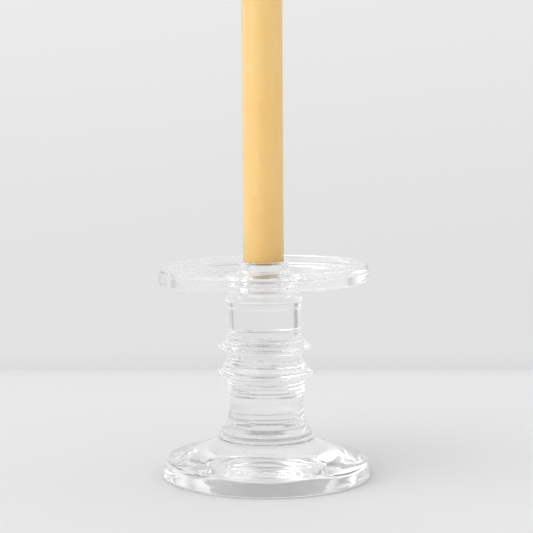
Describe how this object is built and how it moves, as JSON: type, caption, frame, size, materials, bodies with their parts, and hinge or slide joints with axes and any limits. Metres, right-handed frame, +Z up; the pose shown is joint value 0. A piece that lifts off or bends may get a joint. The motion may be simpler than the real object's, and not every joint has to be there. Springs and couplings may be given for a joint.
{
  "type": "glass candlestick",
  "caption": "Clear glass candlestick with a wide foot, a ringed stem and a dished drip plate, holding a plain taper candle that lifts out.",
  "frame": {"origin": "on the table, under the middle of the foot", "axes": "+Z up along the stem and the candle; the shape is turned, so X and Y are alike, and +X is to the right seen from the front (-Y)"},
  "size_m": [0.1148, 0.1148, 0.3283],
  "materials": {
    "clear_glass": "fire-polished clear glass with slight hand-worked waves",
    "wax": "satin pale yellow beeswax-coloured wax",
    "wick": "braided cotton"
  },
  "bodies": {
    "candlestick": {"foot": "clear_glass", "foot_collar": "clear_glass", "lower_column": "clear_glass", "ribbed_collar": "clear_glass", "lower_ring": "clear_glass", "waist": "clear_glass", "upper_ring": "clear_glass", "bead_collar": "clear_glass", "upper_column": "clear_glass", "shoulder": "clear_glass", "candle_socket": "clear_glass", "drip_plate": "clear_glass", "plate_rim": "clear_glass"},
    "candle": {"candle_wax": "wax", "candle_wick": "wick"}
  },
  "joints": [
    {"name": "candle_lift", "type": "slide", "parent": "candlestick", "child": "candle", "axis": [0, 0, 1], "range_m": [0, 0.05]}
  ]
}
